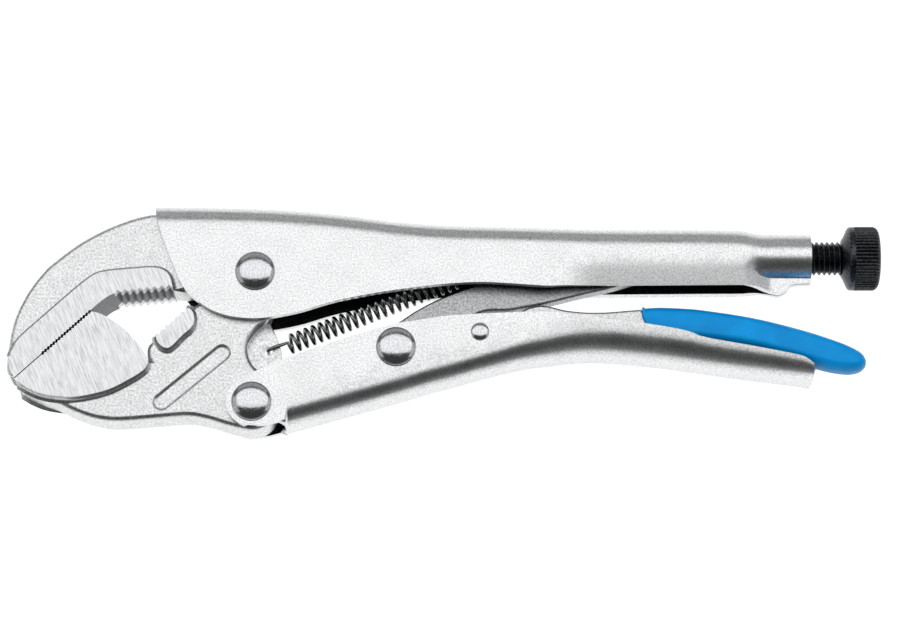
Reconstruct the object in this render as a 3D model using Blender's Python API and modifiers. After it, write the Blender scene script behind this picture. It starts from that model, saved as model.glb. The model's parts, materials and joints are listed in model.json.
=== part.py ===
"""Locking pliers, lying on their side: +X runs to the tail, +Y to the upper handle, +Z is up.

Lengths are in millimetres in this script and are turned to metres where a shape is made.
Side views are drawn from the jaw rivet, which is at (0, 0), with z = 0 at mid-thickness.
"""

import math

import bmesh
import bpy
from mathutils import Matrix, Vector

MM = 0.001
CLEAR = 0.3                       # gap between pieces that touch on the real tool

# Overall sizes
JAW_REACH = 71.0                  # jaw rivet to the tip of the jaws
TAIL_REACH = 148.0                # jaw rivet to the threaded tail of the upper handle
LOWER_LENGTH = 159.5              # handle rivet to the end of the lower handle
JAW_DEPTH = 38.4                  # jaw rivet down to the handle rivet

# Pressed handles
HANDLE_WIDTH = 16.2
SHEET = 2.1
UPPER_ROUND = 3.8                 # outer rounding along the spine of the upper handle
LOWER_ROUND = 4.6                 # outer rounding along the spine of the lower handle
EAR_RADIUS = 7.2
SPINE_START = 10.0                # handle rivet to the front of the lower handle's spine

# Forged jaws and bars
GRIP_THICKNESS = 16.0             # across the ground pads
WEB_THICKNESS = HANDLE_WIDTH - 2 * SHEET - 2 * CLEAR
EDGE_ROUND = 0.8
HOLLOW_ROUND = UPPER_ROUND - SHEET   # rounding inside the upper handle
WEB_ROUND = 0.47 * HOLLOW_ROUND
LUG_RADIUS = 8.7                  # moving jaw round the jaw rivet
LOBE_RADIUS = 7.9                 # moving jaw round the handle rivet
TAB_THICKNESS = 3.6               # thin tab that the spring hooks into
LINK_THICKNESS = 5.2
LEVER_THICKNESS = 8.0
COATING = 1.0                     # dipped plastic on the lever
LINK_END_RADIUS = 3.2
LINK_BOSS = 8.0                   # link round the toggle rivet
LEVER_HEEL = 5.4                  # lever round its pin
ANCHOR_HALF = 3.0                 # half the width of the spring anchor

# Pivots
HANDLE_PIVOT = (-0.43, -JAW_DEPTH)
TOGGLE_PIVOT = (40.34, 16.0 - JAW_DEPTH)
LEVER_PIVOT = (64.2, 20.45 - JAW_DEPTH)
LINK_END = (TAIL_REACH - 26.4, 6.1)
PIVOT_CLEARANCE = 5.0             # link end to screw tip, where the linkage is left open

# Rivets
RIVET_SHANK = 3.6
RIVET_HEAD = 5.7
RIVET_DOME = 2.0
PIN_SHANK = 1.8
PIN_HEAD = 2.6
PIN_DOME = 0.8

# Adjusting screw and tail
THREAD_RADIUS = 5.0
TAIL_RADIUS = 7.0
TAIL_LENGTH = 11.4
SCREW_END_ROUND = 1.0
JOURNAL = 0.6 * THREAD_RADIUS      # plain end of the screw, inside the knob
SCREW_SHOWS = 8.6                 # thread between the tail and the knob
KNOB_RADIUS = 9.2
KNOB_LENGTH = 7.2
KNOB_NECK = 3.6
KNOB_CORNER = 2.0
KNOB_SHOULDER = 0.62              # of its radius, where the neck starts

# Tension spring
COIL_RADIUS = 2.5                 # to the middle of the wire
WIRE_RADIUS = 0.5
COIL_TURNS = 22
COIL_POINTS = 8                   # points in each turn
TAB_HOLE = (3.8, -22.0)
ANCHOR_HOLE = (62.5, 2.0)
HOOK_HOLE_RADIUS = 1.3
COIL_START = 6.4                  # hole to first coil, along the spring
COIL_END = 5.0                    # last coil to the anchor hole

# Grip line, shared by both jaws
GRIP_TIP = (-0.953 * JAW_REACH, -31.4)
GRIP_TOP = (-0.656 * JAW_REACH, -11.6)

CURVE_STEPS = 3
ROUND_STEPS = 24
CUT_DEPTH = 30.0                  # longer than any piece that a cutter goes through

for old in list(bpy.data.objects):
    bpy.data.objects.remove(old)

PARTS = bpy.data.collections.new("locking_pliers")
CUTTERS = bpy.data.collections.new("cutters")
bpy.context.scene.collection.children.link(PARTS)
bpy.context.scene.collection.children.link(CUTTERS)


# ---------------------------------------------------------------- materials and pivots

def material(name, colour, roughness, metallic):
    made = bpy.data.materials.new(name)
    made.use_nodes = True
    shader = made.node_tree.nodes["Principled BSDF"]
    shader.inputs["Base Color"].default_value = (*colour, 1)
    shader.inputs["Roughness"].default_value = roughness
    shader.inputs["Metallic"].default_value = metallic
    return made


PLATED_STEEL = material("plated_steel", (0.78, 0.79, 0.80), 0.32, 1)
FORGED_STEEL = material("forged_steel", (0.70, 0.71, 0.72), 0.42, 1)
RIVET_STEEL = material("rivet_steel", (0.55, 0.56, 0.57), 0.18, 1)
SPRING_STEEL = material("spring_steel", (0.16, 0.17, 0.17), 0.30, 1)
BLACK_STEEL = material("black_steel", (0.035, 0.037, 0.040), 0.45, 1)
BLUE_PLASTIC = material("blue_plastic", (0.0, 0.26, 0.62), 0.22, 0)


def pivot(name, place, parent=None):
    """An empty on a joint's axis, placed from the jaw rivet."""
    empty = bpy.data.objects.new(name, None)
    PARTS.objects.link(empty)
    empty["place"] = (place[0], place[1], 0)
    empty.parent = parent
    start = Vector(parent["place"]) if parent else Vector((0, 0, 0))
    empty.location = (Vector(empty["place"]) - start) * MM
    return empty


BASE = pivot("pliers_base", (0, 0))
JAW = pivot("jaw_pivot", (0, 0), BASE)
HANDLE = pivot("handle_pivot", HANDLE_PIVOT, JAW)
TOGGLE = pivot("toggle_pivot", TOGGLE_PIVOT, HANDLE)
LEVER = pivot("lever_pivot", LEVER_PIVOT, HANDLE)
SCREW = pivot("screw_pivot", LINK_END, BASE)


# ---------------------------------------------------------------- making shapes

def add_object(name, mesh, on, finish=None):
    """Put a mesh drawn from the jaw rivet on its pivot; without a finish it is a cutter."""
    mesh.transform(Matrix.Translation(-Vector(on["place"]) * MM))
    made = bpy.data.objects.new(name, mesh)
    made.parent = on
    if finish:
        mesh.materials.clear()
        mesh.materials.append(finish)
        PARTS.objects.link(made)
    else:
        CUTTERS.objects.link(made)
        made.hide_render = True
        made.display_type = "WIRE"
    return made


def curve_mesh(name, curve):
    """The closed mesh of a curve, with its caps welded; the curve is removed."""
    source = bpy.data.objects.new(name, curve)
    bpy.context.scene.collection.objects.link(source)
    bpy.context.view_layer.update()
    mesh = bpy.data.meshes.new_from_object(source.evaluated_get(bpy.context.evaluated_depsgraph_get()))
    bpy.data.objects.remove(source)
    shape = bmesh.new()
    shape.from_mesh(mesh)
    bmesh.ops.remove_doubles(shape, verts=shape.verts, dist=0.001 * MM)
    bmesh.ops.dissolve_limit(shape, angle_limit=math.radians(0.5), verts=shape.verts, edges=shape.edges)
    bmesh.ops.recalc_face_normals(shape, faces=shape.faces)
    shape.to_mesh(mesh)
    shape.free()
    return mesh


def plate(name, runs, thickness, on, finish=None, edge=0.0):
    """A flat piece from its side view.

    Each run is a smooth stretch of (x, y) points, and runs meet at corners.
    """
    curve = bpy.data.curves.new(name, "CURVE")
    curve.dimensions = "2D"
    curve.fill_mode = "BOTH"
    curve.extrude = thickness / 2 * MM
    curve.resolution_u = CURVE_STEPS
    points = [(x, y, spot in (0, len(run) - 1)) for run in runs for spot, (x, y) in enumerate(run)]
    spline = curve.splines.new("BEZIER")
    spline.use_cyclic_u = True
    spline.bezier_points.add(len(points) - 1)
    for knot, (x, y, corner) in zip(spline.bezier_points, points):
        knot.co = (x * MM, y * MM, 0)
        knot.handle_left_type = "VECTOR" if corner else "AUTO"
        knot.handle_right_type = knot.handle_left_type
    made = add_object(name, curve_mesh(name, curve), on, finish)
    if edge:
        soften(made, edge)
    return made


def soften(piece, width, steps=1):
    bevel = piece.modifiers.new("rounded_edges", "BEVEL")
    bevel.width = width * MM
    bevel.segments = steps
    bevel.limit_method = "ANGLE"
    bevel.angle_limit = math.radians(50)


def drum(name, centre, radius, thickness, on):
    """A round cutter across the tool."""
    shape = bmesh.new()
    bmesh.ops.create_cone(shape, cap_ends=True, segments=ROUND_STEPS, radius1=radius * MM,
                          radius2=radius * MM, depth=thickness * MM,
                          matrix=Matrix.Translation(Vector((centre[0], centre[1], 0)) * MM))
    mesh = bpy.data.meshes.new(name)
    shape.to_mesh(mesh)
    shape.free()
    return add_object(name, mesh, on)


def turned(name, profile, centre, on, finish=None, lengthways=False):
    """A turned piece; profile is (radius, place) down its outer side, about Z or about X."""
    mesh = bpy.data.meshes.new(name)
    edges = [(spot, spot + 1) for spot in range(len(profile) - 1)]
    mesh.from_pydata([(radius * MM, 0, place * MM) for radius, place in profile], edges, [])
    made = bpy.data.objects.new(name, mesh)
    made.parent = on
    made.location = (Vector((centre[0], centre[1], 0)) - Vector(on["place"])) * MM
    if lengthways:
        made.rotation_euler = (0, math.pi / 2, 0)
    screw = made.modifiers.new("turn", "SCREW")
    screw.steps = ROUND_STEPS
    screw.render_steps = ROUND_STEPS
    screw.use_merge_vertices = True
    screw.merge_threshold = 0.001 * MM
    if finish:
        mesh.materials.append(finish)
        PARTS.objects.link(made)
    else:
        CUTTERS.objects.link(made)
        made.hide_render = True
        made.display_type = "WIRE"
    return made


def shaft(name, start, end, radius, on):
    """A round cutter or filler along X, on the screw's axis."""
    profile = [(0, end - start), (radius, end - start), (radius, 0), (0, 0)]
    return turned(name, profile, (start, LINK_END[1]), on, lengthways=True)


def combine(piece, other, operation):
    step = piece.modifiers.new(other.name, "BOOLEAN")
    step.operation = operation
    step.object = other
    step.solver = "EXACT"


def cut(piece, other):
    combine(piece, other, "DIFFERENCE")


def join(piece, other):
    combine(piece, other, "UNION")


def smooth(mesh):
    mesh.shade_smooth()
    mesh.set_sharp_from_angle(angle=math.radians(35))


def arc(centre, radius, start, end, steps=4):
    """Points round a centre, from one angle in degrees to another."""
    angles = [math.radians(start + (end - start) * spot / steps) for spot in range(steps + 1)]
    return [(centre[0] + radius * math.cos(turn), centre[1] + radius * math.sin(turn)) for turn in angles]


def lowered(points, drop):
    return [(x, y - drop) for x, y in points]


def from_point(start, points):
    return [(start[0] + x, start[1] + y) for x, y in points]


# ---------------------------------------------------------------- upper handle

def nose(share):
    return -share * JAW_REACH


def tail(share):
    return share * TAIL_REACH


SPINE_TOP = [(nose(0.408), 20.8), (nose(0.2), 20.6), (0, 20.2), (tail(0.17), 18.2), (tail(0.34), 15.2),
             (tail(0.6), 14.0), (TAIL_REACH, 13.6)]
FRONT_EDGE = [SPINE_TOP[0], (nose(0.362), 7.7), (nose(0.306), -2.6)]
CHEEK_EDGE = [(nose(0.262), -6.9), (nose(0.148), -12.2), (0, -13.9), (tail(0.085), -12.0),
              (tail(0.19), -7.8), (tail(0.3), -5.0), (tail(0.44), -3.3), (tail(0.56), -4.4),
              (tail(0.64), -3.9), (tail(0.93), -3.8), (tail(0.985), -2.8)]


def upper_handle():
    high = 2 * SPINE_TOP[0][1]
    low = -2 * JAW_DEPTH
    front = nose(0.7)
    back = TAIL_REACH + 2 * UPPER_ROUND
    spine = [(front, SPINE_TOP[0][1])] + SPINE_TOP[1:-1] + [(back, SPINE_TOP[-1][1])]
    blank = plate("upper_handle", [spine, [(back, low)], [(front, low)]], HANDLE_WIDTH, BASE, PLATED_STEEL)
    soften(blank, UPPER_ROUND, steps=3)
    deep = low - CUT_DEPTH
    around = [[(nose(0.48), high)], FRONT_EDGE, CHEEK_EDGE, [(TAIL_REACH, CHEEK_EDGE[-1][1])],
              [(TAIL_REACH, high)], [(back + CLEAR, high)], [(back + CLEAR, deep)],
              [(front - CLEAR, deep)], [(front - CLEAR, high)]]
    cut(blank, plate("around_upper_handle", around, CUT_DEPTH, BASE))
    roof = lowered(spine, SHEET)
    roof = [(front - CLEAR, roof[0][1])] + roof[1:-1] + [(TAIL_REACH - SHEET, roof[-1][1])]
    pocket = plate("upper_pocket", [roof, [(TAIL_REACH - SHEET, low)], [(front - CLEAR, low)]],
                   HANDLE_WIDTH - 2 * SHEET, BASE)
    soften(pocket, UPPER_ROUND - SHEET, steps=2)
    cut(blank, pocket)
    anchor_top = SPINE_TOP[4][1] - SHEET / 2
    left = ANCHOR_HOLE[0] - ANCHOR_HALF
    right = ANCHOR_HOLE[0] + ANCHOR_HALF
    bottom = ANCHOR_HOLE[1] - ANCHOR_HALF
    anchor = plate("spring_anchor", [[(left, anchor_top)], [(right, anchor_top)], [(right, bottom)],
                                     [(left, bottom)]], SHEET, BASE)
    join(blank, anchor)
    cut(blank, drum("anchor_hole", ANCHOR_HOLE, HOOK_HOLE_RADIUS, CUT_DEPTH / 3, BASE))
    cut(blank, drum("jaw_rivet_hole", (0, 0), RIVET_SHANK + CLEAR, CUT_DEPTH, BASE))
    tube_start = TAIL_REACH - SHEET - CLEAR
    join(blank, shaft("tail_tube", tube_start, TAIL_REACH + TAIL_LENGTH, TAIL_RADIUS, BASE))
    bore = THREAD_RADIUS + CLEAR
    cut(blank, shaft("tail_bore", tail(0.9), TAIL_REACH + TAIL_LENGTH + CLEAR, bore, BASE))
    return blank


# ---------------------------------------------------------------- jaws

TOOTH_START = (nose(0.563), -6.6)
TOOTH_END = (nose(0.33), -4.9)
OUTER_CURVE = [(nose(0.956), -30.6), (nose(1.004), -27.6), (nose(0.993), -18.1), (nose(0.949), -8.5),
               (nose(0.908), -3.6), (nose(0.856), 1.2), (nose(0.775), 6.5), (nose(0.687), 10.8),
               (nose(0.6), 13.8), (nose(0.493), 16.4), (nose(0.42), 17.4)]
PAD_BACK = [(nose(0.985), -23.6), (nose(0.94), -19.4), (nose(0.84), -13.0), (nose(0.725), -5.4),
            (nose(0.648), -1.1), (nose(0.6), 0.1), (nose(0.49), 0.9), (nose(0.39), 1.2),
            (nose(0.353), -0.3), (nose(0.335), -2.6)]


def fixed_jaw():
    lug_gap = LUG_RADIUS + 2 * CLEAR
    roof = SPINE_TOP[1][1] - SHEET - 3 * CLEAR
    tail_end = 0.9 * lug_gap
    web = plate("fixed_jaw",
                [OUTER_CURVE + [(nose(0.34), roof)], [(tail_end, roof - HOLLOW_ROUND / 2)],
                 [(tail_end, lug_gap + CLEAR)],
                 arc((0, 0), lug_gap, 90, 200), [(nose(0.28), -5.6)], [TOOTH_END], [TOOTH_START], [GRIP_TOP],
                 [GRIP_TIP]], WEB_THICKNESS, BASE, FORGED_STEEL, WEB_ROUND)
    pad = plate("fixed_grip", [PAD_BACK, [TOOTH_END], [TOOTH_START], [GRIP_TOP], [GRIP_TIP],
                               [(nose(0.985), -28.6)]], GRIP_THICKNESS, BASE, edge=EDGE_ROUND)
    join(web, pad)
    return web


def moving_jaw():
    gap = 1.5 * CLEAR
    tip = (GRIP_TIP[0], GRIP_TIP[1] - gap)
    top = (GRIP_TOP[0], GRIP_TOP[1] - gap)
    pipe_side = [top, (nose(0.6), -13.2), (nose(0.54), -16.1), (nose(0.486), -19.7), (nose(0.446), -23.2),
                 (nose(0.42), -26.4)]
    grip_under = [(nose(0.433), -28.9), (nose(0.493), -31.9), (nose(0.57), -34.8), (nose(0.648), -36.5),
                  (nose(0.725), -37.2), (nose(0.8), -36.8), (nose(0.856), -35.8), (nose(0.9), -34.4)]
    serrated = [(nose(0.4), -19.3), (nose(0.27), -10.6)]
    heel = [(nose(0.245), -12.1), (nose(0.24), -15.1), (nose(0.283), -18.9), (nose(0.324), -22.2),
            (nose(0.355), -23.1), (nose(0.38), -21.6)]
    underside = [(nose(0.93), -33.8), (nose(0.79), -37.8), (nose(0.725), -40.2), (nose(0.648), -42.5),
                 (nose(0.57), -43.4), (nose(0.376), -42.7), (nose(0.263), -42.1),
                 (nose(0.185), -JAW_DEPTH - 4.6), (nose(0.1), -JAW_DEPTH - 6.6)]
    lobe = arc(HANDLE_PIVOT, LOBE_RADIUS, 250, 375)
    relief = [(3.2, -29.2), (-1.3, -26.0), (-2.1, -21.0), (1.5, -15.4), (4.2, -12.2)]
    neck = arc((0, 0), LUG_RADIUS, 30, 200)
    notch = [(nose(0.385), -25.2)]
    web = plate("moving_jaw",
                [[tip], pipe_side, notch, serrated, neck[::-1], relief[::-1], lobe[::-1], underside[::-1]],
                WEB_THICKNESS, JAW, FORGED_STEEL, EDGE_ROUND)
    join(web, plate("moving_grip", [[tip], pipe_side, grip_under], GRIP_THICKNESS, JAW, edge=EDGE_ROUND))
    join(web, plate("rear_grip", [serrated, heel], GRIP_THICKNESS, JAW, edge=EDGE_ROUND / 2))
    tab_edge = [(4.0, -10.0), (4.4, -13.6), (6.3, -18.1), (7.4, -22.1), (6.6, -26.0), (3.6, -29.6)]
    tab = plate("spring_tab", [tab_edge, [(-4.0, -30.5)], [(-4.0, -10.0)]], TAB_THICKNESS, JAW)
    join(web, tab)
    cut(web, drum("tab_hole", TAB_HOLE, HOOK_HOLE_RADIUS, CUT_DEPTH, JAW))
    cut(web, drum("lug_hole", (0, 0), RIVET_SHANK + CLEAR, CUT_DEPTH, JAW))
    cut(web, drum("lobe_hole", HANDLE_PIVOT, RIVET_SHANK + CLEAR, CUT_DEPTH, JAW))
    return web


# ---------------------------------------------------------------- lower handle and its link

def lower(share):
    return share * LOWER_LENGTH


LOWER_EDGE = [(2.0, 9.3), (7.4, 11.8), (lower(0.142), 17.4), (lower(0.245), 22.4), (lower(0.35), 25.3),
              (lower(0.44), 26.1), (lower(0.523), 26.3), (lower(0.6), 24.9), (lower(0.7), 22.9),
              (lower(0.77), 20.6), (lower(0.81), 18.7), (lower(0.9), 16.1), (lower(0.965), 13.9)]
LOWER_SPINE = [(SPINE_START, -6.6), (lower(0.1), -5.0), (lower(0.245), 1.8), (lower(0.35), 7.1),
               (lower(0.41), 10.3), (lower(0.465), 12.1), (lower(0.53), 13.4), (lower(0.6), 13.6),
               (lower(0.72), 11.9), (lower(0.805), 10.0), (lower(0.9), 8.4), (lower(0.985), 7.0)]


def lower_handle():
    high = 2 * LOWER_EDGE[5][1]
    front_floor = LOWER_SPINE[0][1]
    end = [(LOWER_LENGTH, 7.2), (LOWER_LENGTH, high)]
    spine = from_point(HANDLE_PIVOT, LOWER_SPINE)
    blank = plate("lower_handle",
                  [spine, [from_point(HANDLE_PIVOT, end)[0]], [from_point(HANDLE_PIVOT, end)[1]],
                   from_point(HANDLE_PIVOT, [(-2 * EAR_RADIUS, high)]),
                   from_point(HANDLE_PIVOT, [(-2 * EAR_RADIUS, front_floor)])],
                  HANDLE_WIDTH, HANDLE, PLATED_STEEL)
    soften(blank, LOWER_ROUND, steps=3)
    tail_round = [(lower(0.965), 13.9), (lower(0.99), 11.6), (LOWER_LENGTH + CLEAR, 7.0)]
    past = LOWER_LENGTH + CUT_DEPTH
    above = [from_point(HANDLE_PIVOT, LOWER_EDGE), from_point(HANDLE_PIVOT, tail_round[1:]),
             from_point(HANDLE_PIVOT, [(past, tail_round[-1][1])]),
             from_point(HANDLE_PIVOT, [(past, 2 * high)]),
             from_point(HANDLE_PIVOT, [(-3 * EAR_RADIUS, 2 * high)]),
             from_point(HANDLE_PIVOT, [(-3 * EAR_RADIUS, -3 * EAR_RADIUS)]),
             from_point(HANDLE_PIVOT, [(0, -3 * EAR_RADIUS)]),
             arc(HANDLE_PIVOT, EAR_RADIUS, 270, 105, steps=5)]
    cut(blank, plate("above_cheeks", above, CUT_DEPTH, HANDLE))
    floor = [(x, y + SHEET) for x, y in LOWER_SPINE]
    floor += [(past, floor[-1][1])]
    pocket = plate("lower_pocket",
                   [from_point(HANDLE_PIVOT, floor), from_point(HANDLE_PIVOT, [(past, 2 * high)]),
                    from_point(HANDLE_PIVOT, [(SPINE_START, 2 * high)])],
                   HANDLE_WIDTH - 2 * SHEET, HANDLE)
    soften(pocket, LOWER_ROUND - SHEET, steps=2)
    cut(blank, pocket)
    reach = 3 * EAR_RADIUS
    mouth = [(-reach, -reach), (SPINE_START + CLEAR, -reach), (SPINE_START + CLEAR, reach), (-reach, reach)]
    cut(blank, plate("ear_gap", [[corner] for corner in from_point(HANDLE_PIVOT, mouth)],
                     HANDLE_WIDTH - 2 * SHEET, HANDLE))
    cut(blank, drum("handle_rivet_hole", HANDLE_PIVOT, RIVET_SHANK + CLEAR, CUT_DEPTH, HANDLE))
    cut(blank, drum("toggle_rivet_hole", TOGGLE_PIVOT, RIVET_SHANK + CLEAR, CUT_DEPTH, HANDLE))
    cut(blank, drum("lever_pin_hole", LEVER_PIVOT, PIN_SHANK + CLEAR, CUT_DEPTH, HANDLE))
    return blank


def along_link(points):
    """Turn (along, across) from the toggle rivet into the side view."""
    line = Vector(LINK_END) - Vector(TOGGLE_PIVOT)
    ahead = line.normalized()
    side = Vector((-ahead.y, ahead.x))
    return [tuple(Vector(TOGGLE_PIVOT) + ahead * along + side * across) for along, across in points]


def link_outline(grown):
    """The link's side view, with its underside and end grown outwards."""
    length = (Vector(LINK_END) - Vector(TOGGLE_PIVOT)).length
    tilt = math.degrees(math.atan2(LINK_END[1] - TOGGLE_PIVOT[1], LINK_END[0] - TOGGLE_PIVOT[0]))
    top = [(0.112 * length, 9.8), (0.195 * length, 11.0), (0.29 * length, 11.3), (0.39 * length, 11.0),
           (0.53 * length, 9.6), (0.76 * length, 6.6), (0.9 * length, 4.4)]
    under = [(0.93 * length, -3.3), (0.75 * length, -2.5), (0.53 * length, -0.6), (0.4 * length, 0.7),
             (0.3 * length, 3.0), (0.16 * length, -1.5)]
    return [along_link(top), arc(LINK_END, LINK_END_RADIUS + grown, tilt + 60, tilt - 70),
            along_link(lowered(under, grown)), arc(TOGGLE_PIVOT, LINK_BOSS, tilt - 58, tilt - 285, steps=5)]


def toggle_link():
    bar = plate("toggle_link", link_outline(0), LINK_THICKNESS, TOGGLE, FORGED_STEEL, EDGE_ROUND)
    cut(bar, drum("link_hole", TOGGLE_PIVOT, RIVET_SHANK + CLEAR, CUT_DEPTH, TOGGLE))
    return bar


# ---------------------------------------------------------------- release lever

LEVER_SHOWN = (46.0, 7.9)         # where the coating starts, from the lever pin
LEVER_TOP = [(10.2, 6.0), (13.2, 7.9), (16.8, 8.75), (18.8, 8.75), (21.0, 8.3), (24.5, 7.4), (30.0, 6.9),
             (36.0, 6.9), LEVER_SHOWN]
TIP_TOP = [(51.6, 8.8), (64.0, 8.0), (78.3, 5.7), (92.3, 2.1), (101.9, -1.1), (106.6, -3.1),
           (110.3, -6.2)]
TIP_UNDER = [(109.0, -9.4), (104.4, -10.2), (99.5, -9.5), (92.8, -7.6), (79.0, -3.6), (64.0, -1.2)]
SHOULDER = (LEVER_SHOWN[0], LEVER_SHOWN[1] - COATING)
LEVER_UNDER = [(LEVER_SHOWN[0], -0.9), (30.0, -1.4), (17.0, -2.6), (7.0, -4.6)]


def inset(points, top):
    """The steel's outline under the coating."""
    step = COATING + CLEAR
    return [(x - step, y - step if top else y + step) for x, y in points]


def release_lever():
    steel_tip = [SHOULDER] + inset(TIP_TOP[:-1], True)
    steel_under = inset(TIP_UNDER[1:], False)
    bar = plate("release_lever",
                [from_point(LEVER_PIVOT, LEVER_TOP), from_point(LEVER_PIVOT, steel_tip),
                 from_point(LEVER_PIVOT, steel_under), from_point(LEVER_PIVOT, LEVER_UNDER),
                 arc(LEVER_PIVOT, LEVER_HEEL, 280, 110)],
                LEVER_THICKNESS, LEVER, FORGED_STEEL, EDGE_ROUND)
    cut(bar, plate("link_gap", link_outline(CLEAR), 2 * LEVER_THICKNESS, LEVER))
    cut(bar, drum("lever_hole", LEVER_PIVOT, PIN_SHANK + CLEAR, CUT_DEPTH, LEVER))
    return bar


def lever_coating():
    shown = LEVER_SHOWN[0] + 2 * CLEAR
    front = [(shown, LEVER_SHOWN[1] + COATING / 2), (shown, -2.0)]
    wide = LEVER_THICKNESS + 2 * CLEAR + 2 * COATING
    sleeve = plate("lever_coating",
                   [[from_point(LEVER_PIVOT, front)[0]], from_point(LEVER_PIVOT, TIP_TOP),
                    from_point(LEVER_PIVOT, TIP_UNDER), [from_point(LEVER_PIVOT, front)[1]]],
                   wide, LEVER, BLUE_PLASTIC, 2 * COATING)
    core_top = [(x + CLEAR, y + CLEAR) for x, y in inset(TIP_TOP[:-1], True)]
    core_under = [(x + CLEAR, y - CLEAR) for x, y in inset(TIP_UNDER[1:], False)]
    outside = LEVER_SHOWN[0] - 4 * COATING
    mouth = [(outside, SHOULDER[1] + CLEAR), (outside, LEVER_UNDER[0][1] - CLEAR)]
    core = plate("coating_core",
                 [[from_point(LEVER_PIVOT, mouth)[0]], from_point(LEVER_PIVOT, core_top),
                  from_point(LEVER_PIVOT, core_under), [from_point(LEVER_PIVOT, mouth)[1]]],
                 LEVER_THICKNESS + 2 * CLEAR, LEVER)
    cut(sleeve, core)
    return sleeve


# ---------------------------------------------------------------- rivets and pins

def rivet(name, centre, shank, head, dome, on):
    """A rivet through both cheeks, with a domed head on each side."""
    seat = HANDLE_WIDTH / 2 + CLEAR
    steps = 3
    cap = [(head * math.sin(math.pi / 2 * spot / steps), seat + dome * math.cos(math.pi / 2 * spot / steps))
           for spot in range(steps + 1)]
    cap[0] = (0, seat + dome)
    top = cap + [(shank, seat)]
    bottom = [(radius, -place) for radius, place in reversed(top)]
    return turned(name, top + bottom, centre, on, RIVET_STEEL)


# ---------------------------------------------------------------- screw and knob

def adjusting_screw():
    tip = LINK_END[0] + LINK_END_RADIUS + PIVOT_CLEARANCE
    length = TAIL_REACH + TAIL_LENGTH + SCREW_SHOWS + KNOB_NECK + KNOB_LENGTH / 2 - tip
    shoulder = length - KNOB_NECK - KNOB_LENGTH / 2
    profile = [(0, length), (JOURNAL, length), (JOURNAL, shoulder), (THREAD_RADIUS, shoulder),
               (THREAD_RADIUS, SCREW_END_ROUND), (THREAD_RADIUS - SCREW_END_ROUND, 0), (0, 0)]
    return turned("adjusting_screw", profile, (tip, LINK_END[1]), SCREW, BLACK_STEEL, lengthways=True)


def screw_knob():
    place = TAIL_REACH + TAIL_LENGTH + SCREW_SHOWS + CLEAR
    whole = KNOB_NECK + KNOB_LENGTH
    bore = JOURNAL + CLEAR
    floor = KNOB_NECK + KNOB_LENGTH / 2 + CLEAR
    round_drop = 0.3 * KNOB_CORNER
    profile = [(0, whole), (KNOB_RADIUS - KNOB_CORNER, whole), (KNOB_RADIUS - round_drop, whole - round_drop),
               (KNOB_RADIUS, whole - KNOB_CORNER), (KNOB_RADIUS, KNOB_NECK),
               (KNOB_SHOULDER * KNOB_RADIUS + CLEAR, KNOB_NECK / 2), (KNOB_SHOULDER * KNOB_RADIUS, 0),
               (bore, 0), (bore, floor), (0, floor)]
    return turned("screw_knob", profile, (place, LINK_END[1]), SCREW, BLACK_STEEL, lengthways=True)


# ---------------------------------------------------------------- tension spring

def tension_spring():
    """A close coil with a straight leg through a hole at each end."""
    start = Vector((*TAB_HOLE, 0))
    end = Vector((*ANCHOR_HOLE, 0))
    ahead = (end - start).normalized()
    side = Vector((-ahead.y, ahead.x, 0))
    up = Vector((0, 0, 1))
    coil = (end - start).length - COIL_START - COIL_END
    over_tab = TAB_THICKNESS / 2 + CLEAR + WIRE_RADIUS
    over_anchor = SHEET / 2 + CLEAR + WIRE_RADIUS
    count = COIL_TURNS * COIL_POINTS
    route = [start - up * over_tab, start + up * (over_tab - WIRE_RADIUS),
             start + up * over_tab + ahead * WIRE_RADIUS]
    for spot in range(count + 1):
        turn = math.tau * spot / COIL_POINTS
        middle = start + ahead * (COIL_START + coil * spot / count)
        route.append(middle + COIL_RADIUS * (up * math.cos(turn) + side * math.sin(turn)))
    route += [end + up * over_anchor - ahead * WIRE_RADIUS, end + up * (over_anchor - WIRE_RADIUS),
              end - up * over_anchor]
    curve = bpy.data.curves.new("tension_spring", "CURVE")
    curve.dimensions = "3D"
    curve.bevel_depth = WIRE_RADIUS * MM
    curve.bevel_resolution = 2
    curve.use_fill_caps = True
    spline = curve.splines.new("POLY")
    spline.points.add(len(route) - 1)
    for knot, place in zip(spline.points, route):
        knot.co = (*(place * MM), 1)
    return add_object("tension_spring", curve_mesh("tension_spring", curve), JAW, SPRING_STEEL)


# ---------------------------------------------------------------- assembly

def stand_on_base():
    """Move the whole tool so that the middle of its underside is at the origin."""
    bpy.context.view_layer.update()
    view = bpy.context.evaluated_depsgraph_get()
    corners = [piece.matrix_world @ Vector(corner) for piece in PARTS.objects if piece.type == "MESH"
               for corner in piece.evaluated_get(view).bound_box]
    low = [min(corner[axis] for corner in corners) for axis in range(3)]
    high = [max(corner[axis] for corner in corners) for axis in range(3)]
    BASE.location = (-(low[0] + high[0]) / 2, -(low[1] + high[1]) / 2, -low[2])


for piece in (upper_handle(), fixed_jaw(), moving_jaw(), lower_handle(), toggle_link(), release_lever(),
              lever_coating(), adjusting_screw(), screw_knob(), tension_spring(),
              rivet("jaw_rivet", (0, 0), RIVET_SHANK, RIVET_HEAD, RIVET_DOME, BASE),
              rivet("handle_rivet", HANDLE_PIVOT, RIVET_SHANK, RIVET_HEAD, RIVET_DOME, HANDLE),
              rivet("toggle_rivet", TOGGLE_PIVOT, RIVET_SHANK, RIVET_HEAD, RIVET_DOME, HANDLE),
              rivet("lever_pin", LEVER_PIVOT, PIN_SHANK, PIN_HEAD, PIN_DOME, HANDLE)):
    smooth(piece.data)
stand_on_base()
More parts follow.
